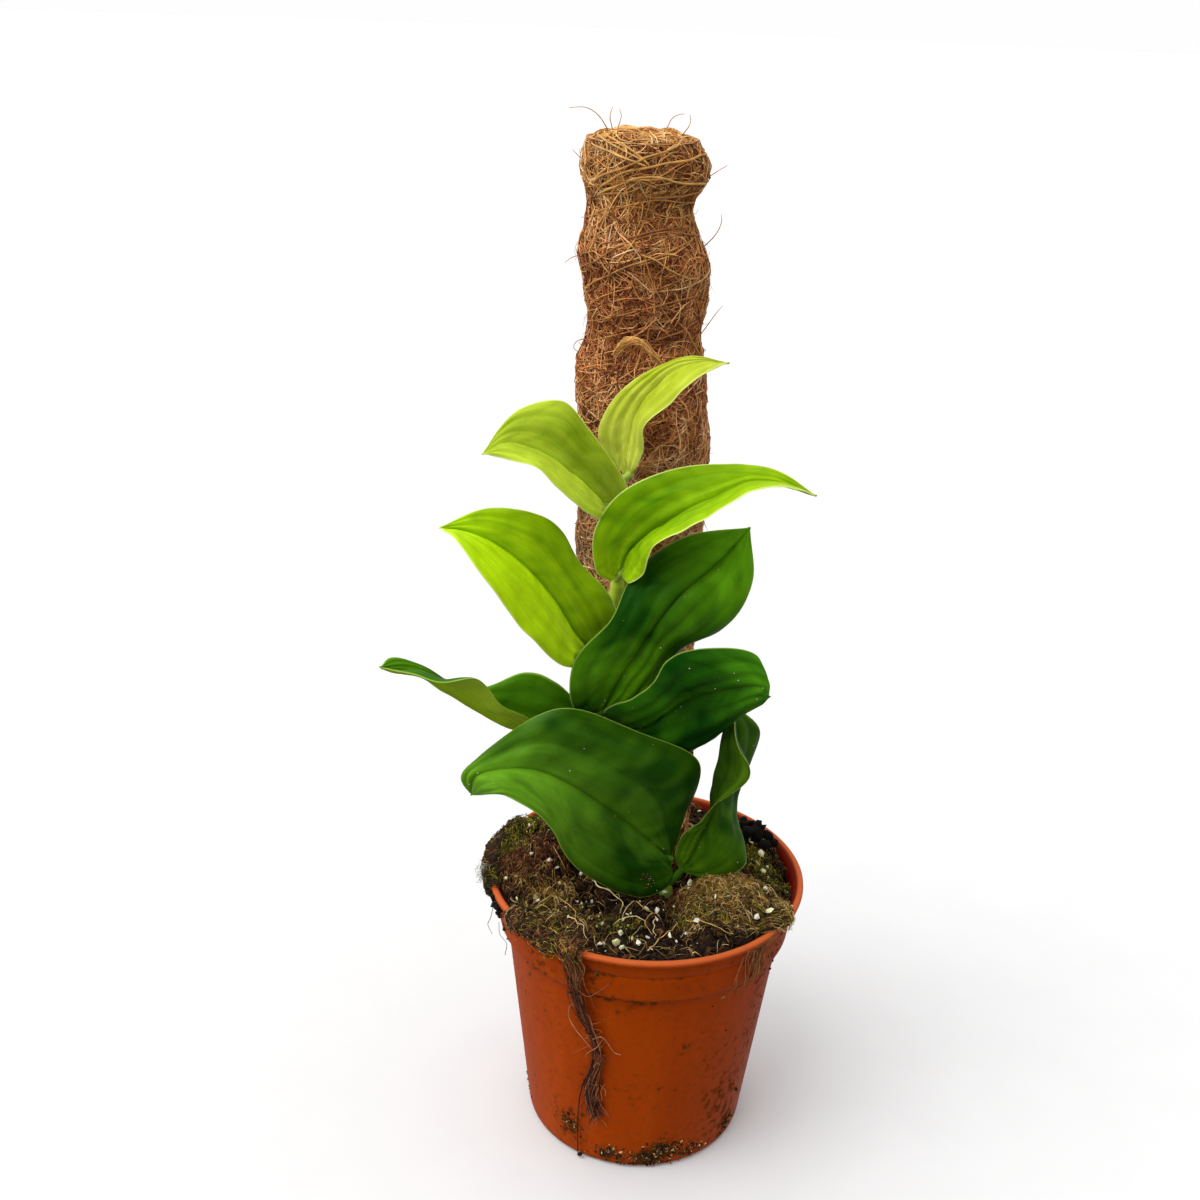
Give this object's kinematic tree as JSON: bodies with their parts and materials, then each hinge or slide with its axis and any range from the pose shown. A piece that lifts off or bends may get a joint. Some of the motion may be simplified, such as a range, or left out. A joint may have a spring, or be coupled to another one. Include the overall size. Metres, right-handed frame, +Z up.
{
  "type": "potted aroid houseplant on a coir pole",
  "caption": "Young climbing aroid with oval, pleated leaves on a coir-wrapped pole, in a round tapered nursery pot with a deep collar, filled with soil and moss.",
  "frame": {"origin": "centre of the pot's flat underside, where it stands", "axes": "+Z up along the pot's axis; -Y to the front, the side of the pole that the leaves are on; +X to the right as seen from the front"},
  "size_m": [0.1546, 0.12, 0.3742],
  "materials": {
    "pot_plastic": "satin orange-brown moulded polypropylene with a worn sheen",
    "soil": "dark moist potting mix with grains of perlite",
    "moss": "green-brown sphagnum and dead moss, matted",
    "dead_moss": "dry pale brown moss and fibres, matted",
    "clump": "wet dark mix held together by fine hairs",
    "root": "thin brown roots with soil on them",
    "stake_wood": "plain turned wood",
    "coir": "coconut fibre, matted, with coarse pale strands",
    "stem": "smooth green living stem",
    "leaf_old": "satin dark green living leaf, pleated between its veins, with a thin pale margin",
    "leaf_young": "satin lime green living leaf, pleated between its veins, with a thin pale yellow margin"
  },
  "bodies": {
    "root": {"pot": "pot_plastic", "soil": "soil", "moss_left": "moss", "moss_right": "dead_moss", "clump_left": "clump", "root_bundle": "root", "pole_stake": "stake_wood", "coir_wrap": "coir", "stem": "stem", "leaf_1": "leaf_old", "leaf_2": "leaf_old", "leaf_3": "leaf_old", "leaf_4": "leaf_old", "leaf_5": "leaf_old", "leaf_6": "leaf_young", "leaf_7": "leaf_young", "leaf_8": "leaf_young", "leaf_9": "leaf_young"}
  },
  "joints": []
}
